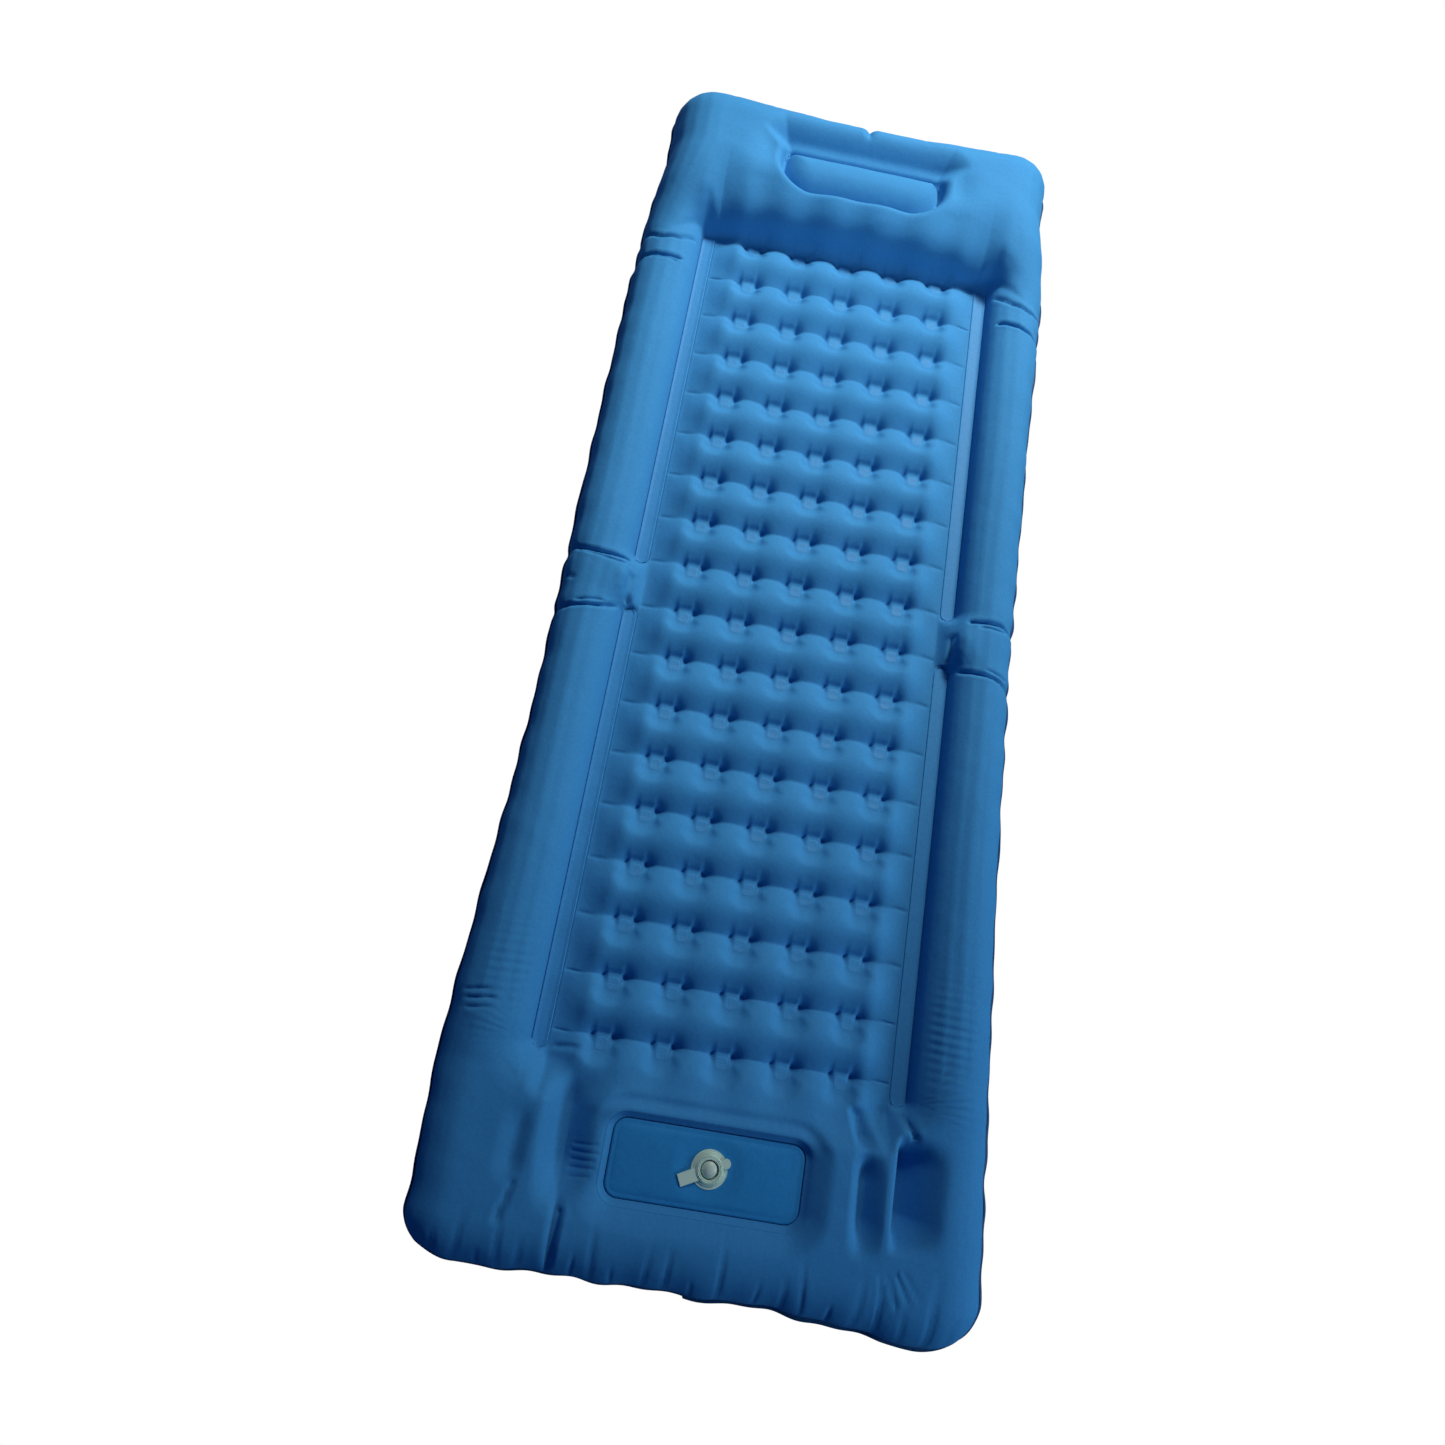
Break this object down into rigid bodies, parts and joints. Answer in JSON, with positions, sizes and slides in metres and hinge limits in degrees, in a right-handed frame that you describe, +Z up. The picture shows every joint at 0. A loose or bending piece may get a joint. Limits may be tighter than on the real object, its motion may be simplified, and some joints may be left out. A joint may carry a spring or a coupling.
{
  "type": "air mattress",
  "caption": "Inflatable camping mattress with a raised pillow, side rails, a dimpled field, a built-in foot pump and a capped intake valve.",
  "frame": {"origin": "centre of the footprint, on the ground plane under the mattress", "axes": "+X across the width, +Y from the foot end towards the pillow, +Z up"},
  "size_m": [0.738, 1.9, 0.15],
  "materials": {
    "top_fabric": "blue coated nylon, fine weave with a low sheen",
    "bottom_fabric": "darker blue coated nylon, fine weave",
    "welded_fabric": "heat-pressed weld, smoother than the cloth",
    "panel_fabric": "coated nylon over foam",
    "liner_film": "grey soft film",
    "foam": "open-cell foam",
    "valve_plastic": "grey-green soft moulded plastic, satin",
    "valve_inner": "grey moulded plastic",
    "seal_rubber": "matt black silicone",
    "spring_wire": "drawn wire"
  },
  "bodies": {
    "mattress": {"top_sheet": "top_fabric", "bottom_sheet": "bottom_fabric", "perimeter_seam": "welded_fabric", "side_weld_bars": "welded_fabric", "weld_dots": "welded_fabric", "foot_weld_lines": "welded_fabric", "pillow_weld_line": "welded_fabric", "pump_liner": "liner_film", "pump_foam": "foam", "transfer_seat": "valve_inner", "flap_retainer": "valve_inner", "dump_base": "valve_plastic"},
    "press_panel": {"pump_panel": "panel_fabric", "intake_base": "valve_plastic"},
    "valve_cap": {"intake_cap": "valve_plastic"},
    "valve_button": {"intake_button": "valve_inner", "button_spring": "spring_wire", "seal_disc": "seal_rubber", "stem_clip": "valve_inner"},
    "pump_flap": {"transfer_flap": "seal_rubber"},
    "drain_plug": {"dump_plug": "valve_plastic", "dump_seal": "seal_rubber"}
  },
  "joints": [
    {"name": "foot_press", "type": "slide", "parent": "mattress", "child": "press_panel", "axis": [0, 0, -1], "range_m": [0, 0.045], "stiffness_N_per_m": 800, "deforming": ["pump_foam"]},
    {"name": "cap_hinge", "type": "hinge", "parent": "press_panel", "child": "valve_cap", "pos_m": [-0.03195, -0.79504, 0.0907], "axis": [0.4384, -0.8988, 0], "range_deg": [0, 130]},
    {"name": "button_push", "type": "slide", "parent": "valve_cap", "child": "valve_button", "axis": [0, 0, -1], "range_m": [0, 0.003], "stiffness_N_per_m": 300, "deforming": ["button_spring"]},
    {"name": "flap_swing", "type": "hinge", "parent": "mattress", "child": "pump_flap", "pos_m": [0.06, -0.7267, 0.058], "axis": [1, 0, 0], "range_deg": [0, 35]},
    {"name": "drain_hinge", "type": "hinge", "parent": "mattress", "child": "drain_plug", "pos_m": [0.0909, -0.6144, 0.0153], "axis": [0, 1, 0], "range_deg": [0, 150]}
  ]
}
